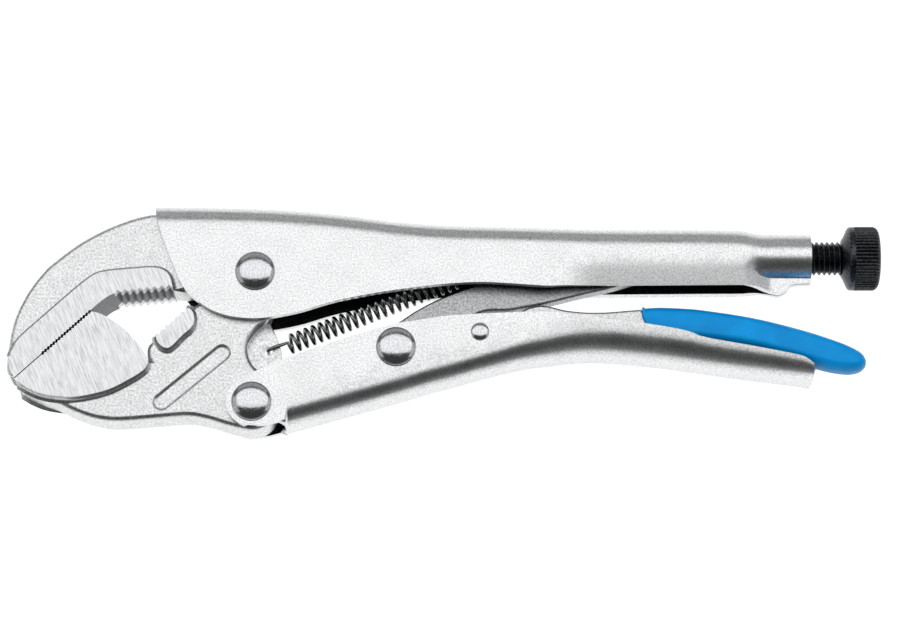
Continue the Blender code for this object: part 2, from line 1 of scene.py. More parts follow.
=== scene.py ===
"""The looks of a pair of locking pliers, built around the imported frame.

Shapes are drawn in millimetres from the jaw rivet: x along the tool, y up to the upper handle,
z through its thickness with 0 at the middle. settle() turns them to metres in the frame.
"""
import json
import math

import bmesh
import bpy
from mathutils import Matrix, Vector
from mathutils.kdtree import KDTree


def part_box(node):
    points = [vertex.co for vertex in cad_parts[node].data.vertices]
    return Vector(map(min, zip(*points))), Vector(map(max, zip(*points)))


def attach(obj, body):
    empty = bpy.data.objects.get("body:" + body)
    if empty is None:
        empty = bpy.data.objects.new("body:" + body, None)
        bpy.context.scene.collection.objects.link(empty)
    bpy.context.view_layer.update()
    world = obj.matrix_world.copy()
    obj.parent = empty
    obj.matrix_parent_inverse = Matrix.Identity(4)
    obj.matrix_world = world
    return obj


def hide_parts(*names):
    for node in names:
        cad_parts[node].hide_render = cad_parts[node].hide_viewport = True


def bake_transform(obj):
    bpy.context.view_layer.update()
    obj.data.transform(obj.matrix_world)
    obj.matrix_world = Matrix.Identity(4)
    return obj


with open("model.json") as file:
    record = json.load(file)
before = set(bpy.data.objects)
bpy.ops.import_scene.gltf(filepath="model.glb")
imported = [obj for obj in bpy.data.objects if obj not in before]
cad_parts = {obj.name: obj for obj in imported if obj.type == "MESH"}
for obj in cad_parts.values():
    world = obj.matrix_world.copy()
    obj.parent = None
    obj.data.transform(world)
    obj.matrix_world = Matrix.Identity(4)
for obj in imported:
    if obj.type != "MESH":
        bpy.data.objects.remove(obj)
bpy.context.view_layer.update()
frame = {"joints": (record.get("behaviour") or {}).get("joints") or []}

MM = 0.001
JOINTS = {joint["name"]: joint for joint in frame["joints"]}
RIVET_PLACE = Vector(JOINTS["jaw_hinge"]["pos_m"])


def joint_place(name):
    """Where a joint is, in millimetres from the jaw rivet."""
    place = (Vector(JOINTS[name]["pos_m"]) - RIVET_PLACE) / MM
    return place.x, place.y


HANDLE_PIVOT = joint_place("handle_hinge")
TOGGLE_PIVOT = joint_place("link_hinge")
LEVER_PIVOT = joint_place("lever_hinge")
SCREW_Y = joint_place("knob_turn")[1]


def cad_size(node):
    """The lowest and highest corners of a CAD node, in millimetres from the jaw rivet."""
    return [(corner - RIVET_PLACE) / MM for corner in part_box(node)]


# Pressed handles
HALF_WIDTH = 8.1
FLARED_HALF = 10.0                 # lower handle, towards its tail
SHEET = 2.1
TAIL_END = cad_size("upper_handle")[1].x
TUBE_RADIUS = 7.0
EAR_RADIUS = 7.2
PRESSED_EDGE, EAR_EDGE = 0.8, 0.6  # rolled cut edges of the upper and the lower handle
SPINE_FRONT = 9.6                  # lower handle's spine, from the handle rivet
LOWER_END = cad_size("lower_handle")[1].x - HANDLE_PIVOT[0]

# Forgings
WEB_HALF = 5.7
GRIP_HALF = 8.0
FORGED_ROUND = 1.5
GROUND_EDGE = 0.25
FILLET = 1.3                       # from the side of a grip to the web
TAB_HALF = 1.8
LINK_HALF = 2.6
LEVER_HALF = 4.0

# Rivets
HEAD_SEAT = 8.3
HEAD_RADIUS = 5.7
HEAD_DOME = 2.0
SHANK_RADIUS = 3.6
PIN_HEAD, PIN_DOME, PIN_SHANK = 2.6, 0.8, 1.8
PRESS_MARK, PIN_MARK = 0.05, 0.03  # depth of the punch's rings

# Spring
TAB_HOLE = (3.8, -22.0)
ANCHOR_HOLE = (62.5, 2.0)

# Screw
PITCH = 1.5
THREAD_RADIUS = 4.85
THREAD_DEPTH = 0.85
KNOB_RADIUS = 9.2


# ---------------------------------------------------------------- outlines

def smooth_run(points, steps=6):
    """A smooth curve through points, by Catmull-Rom; its two ends are kept."""
    ends = [2 * Vector(points[0]) - Vector(points[1])] + [Vector(point) for point in points]
    ends.append(2 * ends[-1] - ends[-2])
    run = []
    for before, start, end, after in zip(ends, ends[1:], ends[2:], ends[3:]):
        for step in range(steps):
            t = step / steps
            along = 2 * start + (end - before) * t
            along += (2 * before - 5 * start + 4 * end - after) * t * t
            along += (3 * start - before - 3 * end + after) * t ** 3
            run.append(tuple(along / 2))
    return run + [tuple(points[-1])]


def arc(centre, radius, start, end, steps=12):
    angles = [math.radians(start + (end - start) * step / steps) for step in range(steps + 1)]
    return [(centre[0] + radius * math.cos(turn), centre[1] + radius * math.sin(turn)) for turn in angles]


def line(start, end, steps=1):
    return [tuple(Vector(start).lerp(Vector(end), step / steps)) for step in range(steps + 1)]


def teeth(start, end, count, depth):
    """A row of V teeth from start to end, cut into the left-hand side."""
    ahead = Vector(end) - Vector(start)
    left = Vector((-ahead.y, ahead.x)).normalized() * depth
    row = []
    for tooth in range(count):
        tip = Vector(start) + ahead * tooth / count
        row.append(tuple(tip))
        row.append(tuple(tip + ahead * 0.5 / count + left))
    return row + [tuple(end)]


def from_point(start, points):
    return [(start[0] + x, start[1] + y) for x, y in points]


def joined(*runs):
    """One closed outline, anticlockwise, with no point twice."""
    outline = []
    for point in (point for run in runs for point in run):
        if not outline or (Vector(point) - Vector(outline[-1])).length > 0.02:
            outline.append(tuple(point))
    if (Vector(outline[0]) - Vector(outline[-1])).length < 0.02:
        outline.pop()
    around = zip(outline, outline[1:] + outline[:1])
    area = sum(a[0] * b[1] - b[0] * a[1] for a, b in around)
    return outline if area > 0 else outline[::-1]


def inward(outline):
    """The mitred inward direction at each point of an anticlockwise outline."""
    normals = []
    for before, point, after in zip(outline[-1:] + outline[:-1], outline, outline[1:] + outline[:1]):
        first = (Vector(point) - Vector(before)).normalized()
        second = (Vector(after) - Vector(point)).normalized()
        middle = first + second
        if middle.length < 0.2:
            normals.append(Vector((-first.y, first.x)))
            continue
        middle.normalize()
        normals.append(Vector((-middle.y, middle.x)) / max(0.6, middle.dot(second)))
    return normals


def height_at(points, x):
    """The height of a smooth curve through points at x."""
    run = smooth_run(points, 12)
    for start, end in zip(run, run[1:]):
        if x <= end[0]:
            share = (x - start[0]) / (end[0] - start[0])
            return start[1] + (end[1] - start[1]) * max(0.0, share)
    return run[-1][1]


def ease(low, high, x):
    """0 below low, 1 above high, and smooth between."""
    share = min(1.0, max(0.0, (x - low) / (high - low)))
    return share * share * (3 - 2 * share)


# ---------------------------------------------------------------- making shapes

def loft(rings, closed=True):
    """A skin through rings of points, each ring extruded from the last; closed rings get caps."""
    shape = bmesh.new()
    spot = shape.verts.layers.int.new("spot")
    ring = [shape.verts.new(place) for place in rings[0]]
    for index, vert in enumerate(ring):
        vert[spot] = index
    edges = [shape.edges.new(pair) for pair in zip(ring, ring[1:])]
    if closed:
        edges.append(shape.edges.new((ring[-1], ring[0])))
        shape.faces.new(ring)
    for places in rings[1:]:
        made = bmesh.ops.extrude_edge_only(shape, edges=edges)["geom"]
        fresh = {part for part in made if isinstance(part, bmesh.types.BMVert)}
        edges = [part for part in made if isinstance(part, bmesh.types.BMEdge) and set(part.verts) <= fresh]
        for vert in fresh:
            vert.co = places[vert[spot]]
    if closed:
        shape.faces.new(sorted(fresh, key=lambda vert: vert[spot]))
    bmesh.ops.recalc_face_normals(shape, faces=shape.faces)
    return shape


def slab(outline, levels, shares=None):
    """An outline raised through (inset, height) levels; shares scale the inset at each point."""
    normals = inward(outline)
    shares = shares or [1] * len(outline)
    rings = []
    for inset, height in levels:
        ring = [Vector(point) + normal * inset * share
                for point, normal, share in zip(outline, normals, shares)]
        rings.append([(place.x, place.y, height) for place in ring])
    return loft(rings)


def round_levels(half, radius, steps=4):
    """Levels of a slab with rounded edges, from its far face to its near face."""
    near = []
    for step in range(steps + 1):
        turn = math.pi / 2 * step / steps
        near.append((radius * (1 - math.cos(turn)), half - radius * (1 - math.sin(turn))))
    return [(inset, -height) for inset, height in reversed(near)] + near


def lathe(profile, steps=64):
    """A turned shape about Z from (radius, height) points."""
    shape = bmesh.new()
    verts = [shape.verts.new((radius, 0, height)) for radius, height in profile]
    edges = [shape.edges.new(pair) for pair in zip(verts, verts[1:])]
    bmesh.ops.spin(shape, geom=verts + edges, cent=(0, 0, 0), axis=(0, 0, 1), angle=math.tau,
                   steps=steps, use_merge=True)
    bmesh.ops.remove_doubles(shape, verts=shape.verts, dist=0.001)
    bmesh.ops.recalc_face_normals(shape, faces=shape.faces)
    return shape


def moved(shape, place):
    bmesh.ops.translate(shape, verts=shape.verts, vec=place)
    return shape


def as_object(name, shape):
    mesh = bpy.data.meshes.new(name)
    shape.to_mesh(mesh)
    shape.free()
    made = bpy.data.objects.new(name, mesh)
    bpy.context.scene.collection.objects.link(made)
    return made


def combined(shape, other, operation):
    """One shape joined with another, or cut by it."""
    piece = as_object("blank", shape)
    tool = as_object("tool", other)
    step = piece.modifiers.new("combine", "BOOLEAN")
    step.operation = operation
    step.object = tool
    step.solver = "EXACT"
    bpy.context.view_layer.update()
    view = bpy.context.evaluated_depsgraph_get()
    mesh = bpy.data.meshes.new_from_object(piece.evaluated_get(view))
    result = bmesh.new()
    result.from_mesh(mesh)
    for used in (piece, tool):
        bpy.data.objects.remove(used)
    return result


def cut(shape, other):
    return combined(shape, other, "DIFFERENCE")


def union(shape, other):
    return combined(shape, other, "UNION")


def both_sides(shape, maker):
    """Cut the same recess into the near and far faces."""
    for side in (1, -1):
        shape = cut(shape, maker(side))
    return shape


def settle(name, shape, body, finish, node, sharp=32, flat=True):
    """Make the finished piece: in metres, in the frame, riding on its body.
    flat keeps large faces level where they meet a rounding."""
    made = as_object(name, shape)
    mesh = made.data
    mesh.transform(Matrix.Translation(RIVET_PLACE) @ Matrix.Scale(MM, 4))
    for material in finish:
        mesh.materials.append(material)
    mesh.shade_smooth()
    mesh.set_sharp_from_angle(angle=math.radians(sharp))
    if flat:
        level = made.modifiers.new("level_faces", "WEIGHTED_NORMAL")
        level.keep_sharp = True
    if body:
        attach(made, body)
    if node:
        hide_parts(node)
    return made


def paint_faces(shape, slot, test):
    for face in shape.faces:
        if test(face):
            face.material_index = slot


# ---------------------------------------------------------------- materials

def linear(code):
    """An sRGB hex colour as linear values."""
    shares = [int(code[start:start + 2], 16) / 255 for start in (1, 3, 5)]
    return [share / 12.92 if share <= 0.04045 else ((share + 0.055) / 1.055) ** 2.4 for share in shares] + [1]


def add_node(tree, kind, inputs=None, **settings):
    """A node with its settings; an input is a value or another node's output."""
    made = tree.nodes.new(kind)
    for name, value in settings.items():
        setattr(made, name, value)
    for name, value in (inputs or {}).items():
        if isinstance(value, bpy.types.NodeSocket):
            tree.links.new(value, made.inputs[name])
        else:
            made.inputs[name].default_value = value
    return made


def start_material(name, **values):
    material = bpy.data.materials.new(name)
    material.use_nodes = True
    tree = material.node_tree
    shader = tree.nodes["Principled BSDF"]
    for socket, value in values.items():
        shader.inputs[socket.replace("_", " ")].default_value = value
    place = add_node(tree, "ShaderNodeTexCoord").outputs["Object"]
    return material, tree, shader, place


def ramp(tree, fac, stops):
    """A colour ramp through (position, sRGB hex) stops."""
    made = add_node(tree, "ShaderNodeValToRGB", {"Fac": fac})
    while len(made.color_ramp.elements) < len(stops):
        made.color_ramp.elements.new(0.5)
    for element, (position, code) in zip(made.color_ramp.elements, stops):
        element.position = position
        element.color = linear(code)
    return made.outputs["Color"]


def grain(tree, place, size, detail=2.0, rough=0.6):
    """Noise with grains of a real size in millimetres."""
    made = add_node(tree, "ShaderNodeTexNoise",
                    {"Vector": place, "Scale": 1 / (size * MM), "Detail": detail, "Roughness": rough})
    return made.outputs["Fac"]


def spread(tree, fac, low, high):
    made = add_node(tree, "ShaderNodeMapRange", {"Value": fac, "From Min": 0.3, "From Max": 0.7,
                                                 "To Min": low, "To Max": high})
    return made.outputs["Result"]


def bump(tree, height, depth, normal=None):
    """Relief of a real depth in millimetres."""
    inputs = {"Height": height, "Distance": depth * MM, "Strength": 1.0}
    if normal:
        inputs["Normal"] = normal
    return add_node(tree, "ShaderNodeBump", inputs).outputs["Normal"]


def plated_pressing(name, dark, light, depth):
    """Satin nickel-chrome over pressed steel: bright, with a fine orange grain from the blasting
    under the plate, so highlights are broad and slightly speckled."""
    material, tree, shader, place = start_material(name, Metallic=1.0)
    fine = grain(tree, place, 0.5, 3.0, 0.65)
    cloud = grain(tree, place, 9.0, 2.0)
    tree.links.new(ramp(tree, fine, [(0.36, dark), (0.6, light)]), shader.inputs["Base Color"])
    tree.links.new(spread(tree, cloud, 0.27, 0.35), shader.inputs["Roughness"])
    tree.links.new(bump(tree, fine, depth), shader.inputs["Normal"])
    return material


def ground_pad():
    """Plated steel ground flat on a belt: near-mirror along the lines, streaked across them.
    The lines are about 0.45 mm apart, coarser than the real ones, so that they show."""
    material, tree, shader, place = start_material("ground_plated_steel", Metallic=1.0)
    turned = add_node(tree, "ShaderNodeMapping", {"Vector": place, "Rotation": (0, 0, math.radians(22)),
                                                  "Scale": (1.0, 11.0, 1.0)}, vector_type="TEXTURE")
    lines = grain(tree, turned.outputs["Vector"], 0.45, 3.0, 0.75)
    tree.links.new(ramp(tree, lines, [(0.3, "#AEB0B2"), (0.58, "#E4E5E6")]), shader.inputs["Base Color"])
    tree.links.new(spread(tree, lines, 0.28, 0.36), shader.inputs["Roughness"])
    tree.links.new(bump(tree, lines, 0.01), shader.inputs["Normal"])
    return material


def polished_rivet():
    """Rivet steel set by a spinning punch: a bright dome with faint smears, so it mirrors the studio."""
    material, tree, shader, place = start_material("polished_rivet_steel", Metallic=1.0)
    smear = grain(tree, place, 0.5, 3.0, 0.6)
    tree.links.new(ramp(tree, smear, [(0.35, "#BDBFC1"), (0.65, "#E0E2E4")]), shader.inputs["Base Color"])
    tree.links.new(spread(tree, smear, 0.13, 0.22), shader.inputs["Roughness"])
    tree.links.new(bump(tree, smear, 0.004), shader.inputs["Normal"])
    return material


def spring_wire():
    """Oil-tempered drawn wire: dark, smooth, with tight glints along each turn."""
    material, tree, shader, place = start_material("oil_tempered_wire", Metallic=1.0)
    film = grain(tree, place, 1.2, 2.0)
    tree.links.new(ramp(tree, film, [(0.3, "#606263"), (0.7, "#A8ABAD")]), shader.inputs["Base Color"])
    tree.links.new(spread(tree, film, 0.2, 0.34), shader.inputs["Roughness"])
    return material


def black_oxide():
    """Turned steel with a black oxide finish: a thin dark film that is worn to grey in a fine speckle."""
    material, tree, shader, place = start_material("black_oxide_steel", Metallic=1.0)
    fine = grain(tree, place, 0.6, 3.0)
    tree.links.new(ramp(tree, fine, [(0.35, "#26272A"), (0.72, "#5C5F62")]), shader.inputs["Base Color"])
    tree.links.new(spread(tree, fine, 0.26, 0.4), shader.inputs["Roughness"])
    tree.links.new(bump(tree, fine, 0.01), shader.inputs["Normal"])
    return material


def dipped_vinyl():
    """Soft PVC dipped over the hot lever: saturated blue, waxy, with a slow swell in the skin."""
    material, tree, shader, place = start_material("dipped_blue_vinyl", Roughness=0.36, IOR=1.53,
                                                   Specular_IOR_Level=0.1)
    swell = grain(tree, place, 7.0, 1.0)
    fine = grain(tree, place, 0.8, 2.0)
    tree.links.new(ramp(tree, swell, [(0.3, "#0086CC"), (0.7, "#0094DE")]), shader.inputs["Base Color"])
    swelled = bump(tree, swell, 0.08)
    tree.links.new(bump(tree, fine, 0.004, swelled), shader.inputs["Normal"])
    return material


def shot_blasted_forging(name, dark, light, depth):
    """Forged steel, shot blasted and then plated: bright but dulled by a sandy grain that
    breaks up every reflection."""
    material, tree, shader, place = start_material(name, Metallic=1.0)
    sand = grain(tree, place, 0.62, 3.0, 0.7)
    patch = grain(tree, place, 4.0, 2.0)
    tree.links.new(ramp(tree, sand, [(0.34, dark), (0.62, light)]), shader.inputs["Base Color"])
    tree.links.new(spread(tree, patch, 0.30, 0.38), shader.inputs["Roughness"])
    tree.links.new(bump(tree, sand, depth), shader.inputs["Normal"])
    return material


def painted_shade_inside():
    """The inside of a pressing: painted shade, a dark grey that stands for the shade inside the
    channel, on a rough, dull plate that gives back little."""
    material, tree, shader, place = start_material("painted_shade_inside_of_pressing", Metallic=1.0, Roughness=0.55)
    film = grain(tree, place, 1.5, 3.0)
    tree.links.new(ramp(tree, film, [(0.35, "#2A2B2C"), (0.7, "#4A4C4D")]), shader.inputs["Base Color"])
    return material


def darker_teeth():
    """Teeth and end faces: coloured darker than the ground pads, with a dull sheen."""
    material, tree, shader, place = start_material("darker_tooth_steel", Metallic=1.0)
    fine = grain(tree, place, 0.7, 3.0, 0.6)
    tree.links.new(ramp(tree, fine, [(0.35, "#505254"), (0.68, "#808284")]), shader.inputs["Base Color"])
    tree.links.new(spread(tree, fine, 0.34, 0.46), shader.inputs["Roughness"])
    return material


PLATED = plated_pressing("satin_plated_pressing", "#C6C8CA", "#F1F2F2", 0.02)
FORGED = shot_blasted_forging("plated_forging", "#B6B8BA", "#F0F1F1", 0.03)
LINK_STEEL = shot_blasted_forging("blasted_link_steel", "#7E8082", "#C2C4C5", 0.035)
LEVER_STEEL = shot_blasted_forging("blasted_lever_steel", "#B4B6B7", "#E8E8E8", 0.02)
GROUND = ground_pad()
RIVET = polished_rivet()
WIRE = spring_wire()
BLACK = black_oxide()
# painted shade: a dark grey for the inside of the pressed channels
PAINTED_SHADE_INSIDE = painted_shade_inside()
# teeth and end faces are coloured darker than the ground pads
DARKER_TEETH = darker_teeth()
VINYL = dipped_vinyl()


# ---------------------------------------------------------------- upper handle

UPPER_SPINE = [(-33, 20.75), (-20, 20.7), (-8, 20.55), (3.4, 20.15), (12.6, 19.6), (22.3, 18.75),
               (30.8, 17.75), (41.3, 16.4), (52, 15.5), (62, 15.15), (70, 14.95), (98.6, 14.2),
               (127, 14.1), (139, 13.9), (145, 13.4), (148.5, 13.1), (154, 13.1), (160, 13.1)]
UPPER_CHEEK = [(-33, 0.5), (-24, -4.5), (-18.6, -8.0), (-13.1, -11.2), (-7.6, -13.2), (-2.1, -13.95),
               (3.4, -13.8), (12.6, -12.0), (22.3, -9.0), (33.2, -6.7), (44.1, -5.0), (55.3, -3.7),
               (64.8, -3.25), (73.9, -3.7), (83.1, -4.3), (90, -3.9), (110, -3.7), (138.7, -3.5),
               (144, -3.6), (147, -4.3), (149.8, -5.0), (152.2, -4.0), (153.8, -2.0), (157, -1.5),
               (160, -1.5)]
UPPER_FRONT = [(-29.1, 20.5), (-28.9, 18.4), (-27.9, 14.0), (-25.7, 7.7), (-23.5, 2.0), (-21.3, -3.1),
               (-18.6, -6.9), (-13.1, -11.1), (-9.5, -12.7)]
UPPER_ROUND = [(-33, 6.4), (40, 6.6), (80, 6.6), (100, 6.8), (150, 7.0), (160, 7.0)]
PINCH_TOP, PINCH_FULL = 7.0, 1.5   # the rear cheeks start to lean in, and reach their full slope
PINCH_SLOPE = 0.2
PINCHED_FROM, PINCHED_BY = 80, 97  # stretch along x where the cheeks take up that lean
WRAP_FROM, WRAP_BY = 139, 149      # stretch where the channel turns into the screw's tube
TUBE_LIP = 2.35                    # half the slot left under the tube


def pinch(y):
    """How far a rear cheek has leaned in at a height."""
    if y > PINCH_TOP:
        return 0.0
    reach = PINCH_TOP - PINCH_FULL
    if y > PINCH_FULL:
        return PINCH_SLOPE * (PINCH_TOP - y) ** 2 / (2 * reach)
    return PINCH_SLOPE * (reach / 2 + PINCH_FULL - y)


def channel_section(spine, edge, radius, half, lean=None):
    """(y, z) points of a bent sheet's outside, from the near cheek's edge over the spine to the far one's."""
    side = 1 if spine > edge else -1
    bend = spine - side * radius
    near = [(edge + (bend - edge) * step / 10, half) for step in range(10)]
    for step in range(9):
        turn = math.pi / 2 * step / 8
        near.append((bend + side * radius * math.sin(turn), half - radius * (1 - math.cos(turn))))
    near += [(spine, (half - radius) * share) for share in (0.66, 0.33)]
    if lean:
        near = [(y, z - lean(y)) for y, z in near]
    return near + [(spine, 0)] + [(y, -z) for y, z in reversed(near)]


def tube_section(edge):
    """The same points as channel_section, wrapped into a tube with two lips below it."""
    opening = math.degrees(math.asin(TUBE_LIP / TUBE_RADIUS))
    near = []
    top = SCREW_Y - math.sqrt(TUBE_RADIUS ** 2 - TUBE_LIP ** 2)
    for step in range(4):
        near.append((edge + (top - edge) * step / 4, TUBE_LIP))
    for step in range(17):
        turn = math.radians(opening + (180 - opening) * step / 17)
        near.append((SCREW_Y - TUBE_RADIUS * math.cos(turn), TUBE_RADIUS * math.sin(turn)))
    return near + [(SCREW_Y + TUBE_RADIUS, 0)] + [(y, -z) for y, z in reversed(near)]


def upper_section(x):
    edge = height_at(UPPER_CHEEK, x)
    pinched = ease(PINCHED_FROM, PINCHED_BY, x)
    open_part = channel_section(height_at(UPPER_SPINE, x), edge, height_at(UPPER_ROUND, x), HALF_WIDTH,
                                lambda y: pinched * pinch(y))
    wrapped = ease(WRAP_FROM, WRAP_BY, x)
    if wrapped == 0:
        return [(x, y, z) for y, z in open_part]
    return [(x, *Vector(a).lerp(Vector(b), wrapped)) for a, b in zip(open_part, tube_section(edge))]


def stations(*stretches):
    """Places along x: each stretch is (start, end, number of steps)."""
    places = []
    for start, end, steps in stretches:
        places += [start + (end - start) * step / steps for step in range(steps)]
    return places + [stretches[-1][1]]


def clip(shape, start, end):
    """Remove what lies to the right of a cut from start to end, in the side view."""
    ahead = Vector(end) - Vector(start)
    outside = Vector((ahead.y, -ahead.x, 0))
    geometry = list(shape.verts) + list(shape.edges) + list(shape.faces)
    bmesh.ops.bisect_plane(shape, geom=geometry, plane_co=(*start, 0), plane_no=outside, clear_outer=True)


def face_out(shape):
    """Turn an open sheet's faces so that its highest one points up."""
    bmesh.ops.recalc_face_normals(shape, faces=shape.faces)
    highest = max(shape.faces, key=lambda face: face.calc_center_median().z)
    if highest.normal.z < 0:
        bmesh.ops.reverse_faces(shape, faces=shape.faces)


def press(piece, edge_round):
    """Give a bent sheet its thickness, and roll its cut edges."""
    wall = piece.modifiers.new("sheet", "SOLIDIFY")
    wall.thickness = SHEET * MM
    wall.offset = -1
    # the inner faces take the second slot, a dark grey painted shade for the inside of the channel
    wall.material_offset = 1
    edge = piece.modifiers.new("rolled_edges", "BEVEL")
    edge.width = edge_round * MM
    edge.segments = 3
    edge.limit_method = "ANGLE"
    edge.angle_limit = math.radians(60)
    edge.harden_normals = True


def upper_handle():
    places = stations((-31, -13, 18), (-13, 20, 22), (20, 80, 24), (80, 140, 24), (140, 156, 32),
                      (156, TAIL_END - 0.05, 4))
    shape = loft([upper_section(x) for x in places], closed=False)
    front = smooth_run(UPPER_FRONT, 4)
    for start, end in zip(front, front[1:]):
        clip(shape, start, end)
    face_out(shape)
    press(settle("upper_handle_pressing", shape, "upper_body", [PLATED, PAINTED_SHADE_INSIDE], "upper_handle",
                 flat=False), PRESSED_EDGE)


# ---------------------------------------------------------------- lower handle

LOWER_CHEEK = [(-12, 2.5), (-3, 6.9), (2.0, 9.3), (7.4, 11.8), (22.7, 17.4), (39.1, 22.4), (47.4, 23.9),
               (56, 25.2), (70.3, 26.0), (83.5, 26.3), (93.3, 25.2), (104.7, 23.7), (111.2, 23.0),
               (122.8, 20.9), (128.5, 18.9), (142.9, 16.2), (154.6, 13.8), (157.5, 12.6), (159.6, 10.9)]
LOWER_SPINE = [(-12, -7.4), (-4, -7.4), (4, -7.2), (8, -6.95), (9.9, -6.6), (15.9, -5.0), (39.1, 1.6),
               (50, 4.9), (58, 7.1), (64, 8.9), (70.3, 10.5), (77, 12.1), (84.4, 13.1), (92.5, 14.0),
               (101.6, 13.9), (115.3, 12.6), (127.7, 10.9), (142.9, 9.0), (156.4, 7.5), (160, 7.2)]
EAR_UNDER = [(-1.0, -7.15), (4.4, -6.6), (10.4, -5.0)]
FLARE_FROM, FLARE_BY = 62, 104     # stretch where the channel widens to FLARED_HALF
EAR_BEND, SPINE_BEND, FLARED_BEND = 0.4, 4.9, 2.3   # bend radius at the ear, then what each adds
SAG, FLARED_SAG = 0.09, 0.05
SAG_REACH = 14.0


def cheek_sag(y, bend, slope):
    """The last of a lower cheek turns in a little before its rounding."""
    near = max(0.0, SAG_REACH / 2 + bend - y)
    return slope * min(near, SAG_REACH) ** 2 / SAG_REACH


def lower_section(x):
    edge = height_at(LOWER_CHEEK, x)
    spine = height_at(LOWER_SPINE, x)
    flare = ease(FLARE_FROM, FLARE_BY, x)
    radius = EAR_BEND + SPINE_BEND * ease(SPINE_FRONT - 0.6, SPINE_FRONT + 0.6, x) + FLARED_BEND * flare
    radius = min(radius, 0.88 * (edge - spine))
    sag = SAG * ease(SPINE_FRONT, 30, x) + FLARED_SAG * flare
    bend = spine + radius
    half = HALF_WIDTH + (FLARED_HALF - HALF_WIDTH) * flare
    section = channel_section(spine, edge - 0.5 * flare, radius, half,
                              lambda y: cheek_sag(y, bend, sag) if y > bend else cheek_sag(bend, bend, sag))
    return [(HANDLE_PIVOT[0] + x, HANDLE_PIVOT[1] + y, z) for y, z in section]


def geometry_before(shape, x):
    """The faces in front of x, with their edges and points."""
    faces = [face for face in shape.faces if face.calc_center_median().x < x]
    edges = {edge for face in faces for edge in face.edges}
    verts = {vert for face in faces for vert in face.verts}
    return list(verts) + list(edges) + faces


def lower_handle():
    places = stations((-9, 8.4, 14), (8.4, 11, 10), (11, 100, 44), (100, 154, 24), (154, LOWER_END - 0.05, 8))
    shape = loft([lower_section(x) for x in places], closed=False)
    ear = arc(HANDLE_PIVOT, EAR_RADIUS, 117, 262, 24)
    for start, end in zip(ear, ear[1:]):
        clip(shape, start, end)
    front = HANDLE_PIVOT[0] + SPINE_FRONT
    geometry = list(shape.verts) + list(shape.edges) + list(shape.faces)
    bmesh.ops.bisect_plane(shape, geom=geometry, plane_co=(front, 0, 0), plane_no=(1, 0, 0))
    spine = [face for face in shape.faces if face.calc_center_median().x < front
             and abs(face.calc_center_median().z) < HALF_WIDTH - 0.3]
    bmesh.ops.delete(shape, geom=spine, context="FACES")
    under = from_point(HANDLE_PIVOT, EAR_UNDER)
    for start, end in zip(under, under[1:]):
        ahead = Vector(end) - Vector(start)
        bmesh.ops.bisect_plane(shape, geom=geometry_before(shape, front), plane_co=(*start, 0),
                               plane_no=(ahead.y, -ahead.x, 0), clear_outer=True)
    face_out(shape)
    press(settle("lower_handle_pressing", shape, "handle_body", [PLATED, PAINTED_SHADE_INSIDE], "lower_handle",
                 flat=False), EAR_EDGE)


# ---------------------------------------------------------------- jaws

GRIP_TIP = (-67.66, -31.4)
GRIP_FINE = (-60.2, -24.4)         # where the fine teeth start
GRIP_TOP = (-46.6, -11.6)
TOOTH_START = (-40.0, -6.6)
TOOTH_END = (-23.4, -4.9)
JAW_GAP = 0.4
CUT_SHARE = 0.12                   # of the rounding, left on cut teeth
FINE_TEETH, FINE_DEPTH = 18, 0.42
COARSE_TEETH, COARSE_DEPTH = 8, 1.0
HEEL_TEETH, HEEL_DEPTH = 6, 0.75
LOBE_RADIUS = 7.8                  # moving jaw round the handle rivet
LUG_RADIUS, LUG_SEAT = 8.6, 9.3    # moving jaw round the jaw rivet, and the fixed jaw's room for it
BORE_RADIUS, HOOK_RADIUS = 3.9, 1.3


def lowered(point):
    return point[0], point[1] - JAW_GAP


def fixed_grip_line():
    """The fixed jaw's working edge, from the rear of the coarse teeth to the tip."""
    coarse = teeth(TOOTH_START, TOOTH_END, COARSE_TEETH, COARSE_DEPTH)[::-1]
    curve = smooth_run([TOOTH_START, (-42.0, -7.6), (-44.4, -9.5), GRIP_TOP], 4)
    fine = teeth(GRIP_FINE, GRIP_TOP, FINE_TEETH, FINE_DEPTH)[::-1]
    return coarse, curve, fine, line(GRIP_FINE, GRIP_TIP)


def fixed_jaw():
    coarse, curve, fine, plain = fixed_grip_line()
    outer = smooth_run([(-67.9, -31.2), (-69.7, -29.9), (-70.4, -27.6), (-70.1, -22.8), (-69.6, -18.1),
                        (-68.6, -13.4), (-66.7, -8.5), (-64.0, -3.6), (-60.4, 1.2), (-57.6, 3.9),
                        (-52.0, 8.4), (-46.5, 11.9), (-40.7, 14.75), (-35.0, 16.9), (-30.4, 18.0)])
    inside = line((-24, 18.1), (7.8, 17.4)) + [(7.8, 9.9)]
    lug = arc((0, 0), LUG_SEAT, 90, 200)
    outline = joined(outer, inside, lug, [(-20, -5.4)], coarse, curve, fine, plain)
    shape = slab(outline, round_levels(WEB_HALF, FORGED_ROUND),
                 edge_shares(outline, coarse + curve + fine, CUT_SHARE))
    back = smooth_run([(-69.4, -25.4), (-68.3, -22.6), (-66.4, -19.4), (-59.7, -13.0), (-51.5, -5.4),
                       (-46.4, -1.2), (-42.8, 0.1), (-35.0, 0.9), (-29.0, 1.25), (-26.0, 0.4), (-24.2, -1.6),
                       (-23.4, -4.4)])
    tip = smooth_run([(-67.66, -31.4), (-68.7, -29.8), (-69.4, -27.4), (-69.4, -25.4)])
    grip = joined(tip, back, coarse, curve, fine, plain)
    shape = union(shape, grip_pad(grip, coarse + curve + fine + plain + tip))
    paint_faces(shape, 1, ground)
    paint_faces(shape, 2, along(coarse + curve + fine + line(GRIP_FINE, GRIP_TIP, 12) + tip))
    settle("fixed_jaw_forging", shape, "upper_body", [FORGED, GROUND, DARKER_TEETH], "fixed_jaw", 28)


